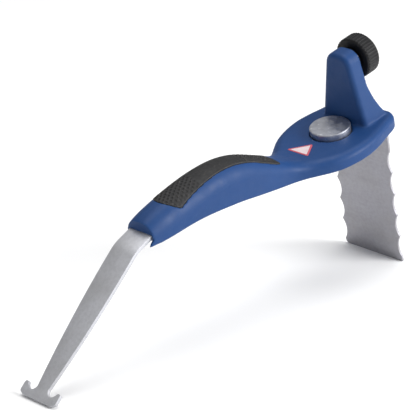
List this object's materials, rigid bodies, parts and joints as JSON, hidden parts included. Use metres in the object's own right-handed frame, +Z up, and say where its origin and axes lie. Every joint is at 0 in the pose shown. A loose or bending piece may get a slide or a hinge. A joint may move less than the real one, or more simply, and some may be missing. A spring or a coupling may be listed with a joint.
{
  "type": "painter's multi tool",
  "caption": "Moulded painter's hand tool: soft-inlay handle, hooked steel strip at one end, magnet disc and a knob-clamped scalloped scraper blade at the head.",
  "frame": {"origin": "on the surface the tool stands on, under the middle of its bounding box", "axes": "+X from the hook end to the head, +Y to the left of the handle, +Z up; the tool stands on the scalloped blade's lower edge and the hook's end edge"},
  "size_m": [0.2894, 0.0588, 0.1481],
  "materials": {
    "shell_blue": "satin moulded polypropylene, fine texture",
    "grip_rubber": "matt, dimpled at the front and ribbed at the tail",
    "blade_steel": "satin rolled stainless sheet",
    "magnet_steel": "zinc plated, lightly scuffed",
    "knob_black": "satin black, ribbed",
    "fastener_steel": "bright zinc",
    "insert_brass": "turned",
    "badge_label": "printed label, red rim and pale field, no lettering"
  },
  "bodies": {
    "handle": {"body_shell": "shell_blue", "underside_cover": "shell_blue", "grip_inlay": "grip_rubber", "hook_blade": "blade_steel", "thread_insert": "insert_brass", "magnet_disc": "magnet_steel", "magnet_washer": "fastener_steel", "magnet_screw": "fastener_steel", "badge": "badge_label", "cover_screw_1": "fastener_steel", "cover_screw_2": "fastener_steel", "cover_screw_3": "fastener_steel", "cover_screw_4": "fastener_steel", "cover_screw_5": "fastener_steel", "cover_screw_6": "fastener_steel", "hook_screw_1": "fastener_steel", "hook_screw_2": "fastener_steel"},
    "blade": {"scalloped_blade": "blade_steel"},
    "washer": {"clamp_washer": "fastener_steel"},
    "knob": {"clamp_knob": "knob_black", "clamp_stud": "fastener_steel"}
  },
  "joints": [
    {"name": "blade_slide", "type": "slide", "parent": "handle", "child": "blade", "axis": [0.2164, 0, -0.9763], "range_m": [0, 0.04]},
    {"name": "knob_feed", "type": "slide", "parent": "handle", "child": "washer", "axis": [0.9763, 0, 0.2164], "range_m": [0, 0.00305]},
    {"name": "knob_turn", "type": "hinge", "parent": "washer", "child": "knob", "pos_m": [0.11685, 0, 0.13335], "axis": [0.9763, 0, 0.2164], "range_deg": [0, 1080]}
  ],
  "couplings": [
    {"joint": "knob_feed", "follows": "knob_turn", "m_per_rad": 0.00015915}
  ]
}
